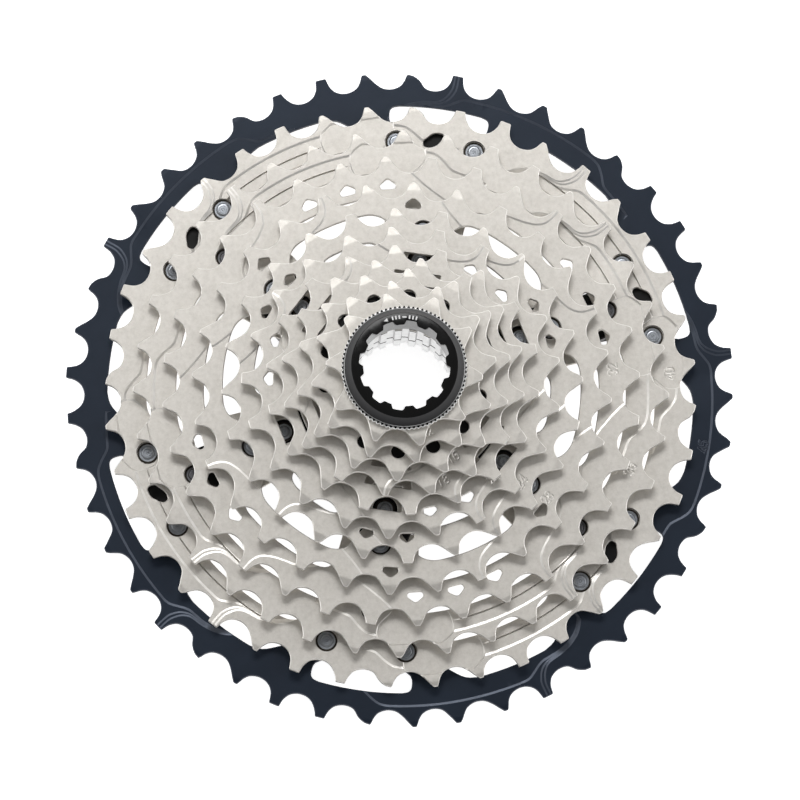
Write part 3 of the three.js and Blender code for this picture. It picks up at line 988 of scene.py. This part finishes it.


def rivet(name, radius, direction, head_top, head, finish=RIVET_STEEL):
    """A peened rivet on a collar painted dark for the shadow in its pit: a stepped head with turned
    rings and a centre dimple.
    """
    bottom = measured(name)[0]
    section = [(SHANK, 0.9), (head + SHADOW_COLLAR, 0.9), (head + SHADOW_COLLAR, 0.7), (head, 0.7), (head, 0.4),
               (head - 0.15, 0.26), (head - 0.4, 0.26), (head - 0.42, 0.38), (head - 0.55, 0.38),
               (head - 0.85, 0.05), (head - 1.0, 0), (1.2, 0), (1.14, 0.12), (0.98, 0.12),
               (0.92, 0), (0.5, 0), (0.42, 0.16), (0.28, 0.16), (0.2, 0), (0, 0)]
    profile = [(0, bottom), (SHANK - 0.3, bottom), (SHANK, bottom + 0.3)]
    profile += [(across, head_top - below) for across, below in section]
    piece = capped(f"{name}_turned", profile, 48, [finish, RIVET_PAINTED_SHADOW],
                   polar(radius, direction), 20, SHADOW_COLLAR_STEPS)
    finished(piece, STACK, name)


def rivets():
    for arm, at in enumerate(arm_angles(), 1):
        rivet(f"rivet_40t_{arm}a", OUTER_RIVET, at - PAIR_HALF, 4.7, 2.45)
        rivet(f"rivet_40t_{arm}b", OUTER_RIVET, at + PAIR_HALF, 4.7, 2.45)
        # the 36-tooth rivets take the darker copy of the steel, painted shade
        rivet(f"rivet_36t_{arm}", MIDDLE_RIVET, at, 7.9, 2.2, RIVET_STEEL_PAINTED_SHADE)
        rivet(f"rivet_28t_{arm}", INNER_RIVET, at, 15.9, 2.6)
        rivet(f"rivet_24t_{arm}", HUB_RIVET, at, 19.4, 2.2)


def spacers():
    inner, edge = SPLINE_ROOT, 0.2
    for large, small in ((21, 18), (18, 16), (16, 14), (14, 12)):
        name = f"spacer_{large}t_{small}t"
        bottom, top, outer = measured(name)
        profile = [(inner, bottom + edge), (inner + edge, bottom), (outer - edge, bottom),
                   (outer, bottom + edge), (outer, top - edge), (outer - edge, top),
                   (inner + edge, top), (inner, top - edge)]
        piece = turned(f"{name}_ring", profile, 120, [SPACER_ALLOY])
        finished(piece, STACK, name)


# ---- lock ring and washer

RING_SIDES = 672
RING_TURN = np.arange(RING_SIDES) * 360 / RING_SIDES
SERRATIONS = 84
SERRATION = 0.6          # how far they stand out of the lock ring's rim
RIM, FACE, SLEEVE = 16.3, 14.3, 13.4
RING_BORE, RING_NOTCH = 11.15, 12.3
NOTCHES = 12
FIRST_NOTCH = 21
NOTCH_HALF = 0.27        # half a notch's width, as a share of the way from notch to notch
FLANGE = 1.8             # thickness of the notched flange
SEAT = 43.15             # back of the rim, just clear of the washer
RIM_TOP = 43.5
THREADS = 11
THREAD_STEP = 0.8
THREAD_ROOT = 13.05
SLEEVE_BORE = 12.55
MARK_IN, MARK_OUT = 12.75, 13.75


def notched(wall=0.16):
    """The bore's radius all the way round, with wide notches for the tool."""
    turn = (RING_TURN - FIRST_NOTCH) * NOTCHES / 360
    away = np.abs(turn - np.round(turn))
    return RING_BORE + (RING_NOTCH - RING_BORE) * (
        1 - smoothstep(NOTCH_HALF - wall / 2, NOTCH_HALF + wall / 2, away))


def serrated(low, high):
    wave = np.cos(np.radians(RING_TURN) * SERRATIONS)
    return low + (high - low) * smoothstep(-0.5, 0.5, wave)


def ring_rows(profile):
    """Rows of points for a profile whose radii may change on the way round."""
    return [np.column_stack([polar(np.broadcast_to(radius, RING_SIDES), RING_TURN),
                             np.full(RING_SIDES, height)]) for radius, height in profile]


def lock_ring():
    end, top, _ = measured("lock_ring")
    bore = notched()
    rim = serrated(RIM, RIM + SERRATION)
    flange = top - FLANGE
    profile = [(SLEEVE_BORE, flange - 0.3), (SLEEVE_BORE, end + 0.2), (SLEEVE_BORE + 0.2, end),
               (SLEEVE - 0.3, end), (SLEEVE, end + 0.3)]
    for k in range(1, THREADS + 1):
        z = end + k * THREAD_STEP
        profile += [(SLEEVE, z - 0.1), (THREAD_ROOT, z + 0.2), (THREAD_ROOT, z + 0.3),
                    (SLEEVE, z + 0.6)]
    profile += [(SLEEVE, SEAT), (RIM - 0.2, SEAT), (rim, SEAT + 0.1), (rim, RIM_TOP - 0.1),
                (RIM, RIM_TOP), (RIM - 0.15, RIM_TOP + 0.12)]
    bevel = len(profile) - 1
    profile += [(FACE + 0.1, top - 0.08), (FACE - 0.1, top), (bore + 0.12, top),
                (bore, top - 0.12), (bore, flange), (bore + 0.1, flange - 0.1)]
    row_materials = [{bevel: 1, bevel - 1: 2}.get(row, 0) for row in range(len(profile))]
    piece = woven("lock_ring_turned", ring_rows(profile), [RING_BLACK, RING_BEVEL, RING_EDGE], 30,
                  row_materials)
    finished(piece, "lock_ring", "lock_ring")
    ring_marks(top)


def ring_marks(top, proud=0.02):
    """Plain ticks, a dash and an arrow printed on the face of the lock ring."""
    shapes = [[(MARK_IN, at - 0.9), (MARK_OUT, at - 0.9), (MARK_OUT, at + 0.9), (MARK_IN, at + 0.9)]
              for at in (76, 80, 84, 96, 100, 104)]
    shapes.append([(MARK_IN, 110), (MARK_OUT, 110), ((MARK_IN + MARK_OUT) / 2, 115)])
    shapes.append([(13.05, 87.5), (13.45, 87.5), (13.45, 92.5), (13.05, 92.5)])
    vertices, faces = [], []
    for shape in shapes:
        corners = counter_clockwise(np.array([polar(radius, at) for radius, at in shape]))
        first, count = len(vertices), len(corners)
        vertices += [(*corner, z) for z in (top - proud, top + proud) for corner in corners]
        low = list(range(first, first + count))
        faces += [low[::-1], [i + count for i in low]]
        faces += [(i, n, n + count, i + count) for i, n in zip(low, low[1:] + low[:1])]
    marks = new_object("lock_ring_marks", vertices, faces, [PRINT_WHITE])
    finished(marks, "lock_ring")


def washer():
    bottom, top, outer = measured("lock_ring_washer")
    inner, edge = 13.9, 0.15
    knurl = serrated(outer - 0.25, outer)
    profile = [(inner, bottom), (knurl - edge, bottom), (knurl, bottom + edge),
               (knurl, top - edge), (knurl - edge, top), (inner, top)]
    piece = woven("lock_ring_washer_knurled", ring_rows(profile), [WASHER_STEEL], 30)
    finished(piece, "washer", "lock_ring_washer")


# ---- stage, light and camera

FLOOR_HEIGHT = -0.004    # in metres, as are all the places below
FLOOR_HALF = 3.0


def floor():
    corners = [(x * FLOOR_HALF, y * FLOOR_HALF, FLOOR_HEIGHT)
               for x, y in ((-1, -1), (1, -1), (1, 1), (-1, 1))]
    mesh = bpy.data.meshes.new("floor")
    mesh.from_pydata(corners, [], [(0, 1, 2, 3)])
    shader = Shader("pale_floor")
    for socket, value in (("Base Color", (0.9, 0.9, 0.9, 1)), ("Roughness", 0.9),
                          ("Emission Color", (1, 1, 1, 1)), ("Emission Strength", 0.9)):
        shader.surface.inputs[socket].default_value = value
    mesh.materials.append(shader.finish(0.0))
    plane = bpy.data.objects.new("floor", mesh)
    bpy.context.scene.collection.objects.link(plane)


def area_light(name, place, size, power, target=(0, 0, 0.02)):
    data = bpy.data.lights.new(name, "AREA")
    data.shape = "RECTANGLE"
    data.size, data.size_y = size
    data.energy = power
    lamp = bpy.data.objects.new(name, data)
    lamp.location = place
    lamp.rotation_euler = (Vector(target) - Vector(place)).to_track_quat("-Z", "Y").to_euler()
    bpy.context.scene.collection.objects.link(lamp)


def lighting():
    """One steep key light, and a ring of four low ones for the bevels and walls."""
    world = bpy.data.worlds.new("studio")
    world.use_nodes = True
    background = world.node_tree.nodes["Background"]
    background.inputs["Color"].default_value = (1, 1, 1, 1)
    background.inputs["Strength"].default_value = 0.17
    bpy.context.scene.world = world
    area_light("key", (-0.08, 0.55, 0.88), (0.55, 0.28), 4.3)
    area_light("left", (-1.2, 0.1, 0.75), (0.7, 1.2), 6.5)
    area_light("right", (1.2, 0.1, 0.75), (0.7, 1.2), 7)
    area_light("far", (0.0, 1.4, 0.6), (1.6, 0.5), 5)
    area_light("near", (0.3, -1.3, 0.75), (1.6, 0.5), 3)
    bpy.context.scene.view_settings.view_transform = "Standard"


# Where the camera stands, and its directions back and right.
EYE = Vector((-0.04395, -0.3310, 1.7237))
EYE_BACK = Vector((-0.02496, -0.18818, 0.98182))
EYE_RIGHT = Vector((0.99969, -0.0047, 0.02451))
LENS = 286.5


def camera():
    """Almost along the axle, from a little below the wheel's centre line."""
    data = bpy.data.cameras.new("camera")
    data.sensor_width = 36
    data.lens = LENS
    data.clip_end = 20
    eye = bpy.data.objects.new("camera", data)
    back = EYE_BACK.normalized()
    up = back.cross(EYE_RIGHT).normalized()
    turn = Matrix((up.cross(back), up, back)).transposed().to_4x4()
    eye.matrix_world = Matrix.Translation(EYE) @ turn
    bpy.context.scene.collection.objects.link(eye)
    bpy.context.scene.camera = eye


def build():
    for teeth in SPROCKETS:
        sprocket(teeth)
    smallest_collar()
    rear_carrier()
    front_carrier()
    rivets()
    spacers()
    lock_ring()
    washer()
    floor()
    lighting()
    camera()


build()
bpy.context.view_layer.update()
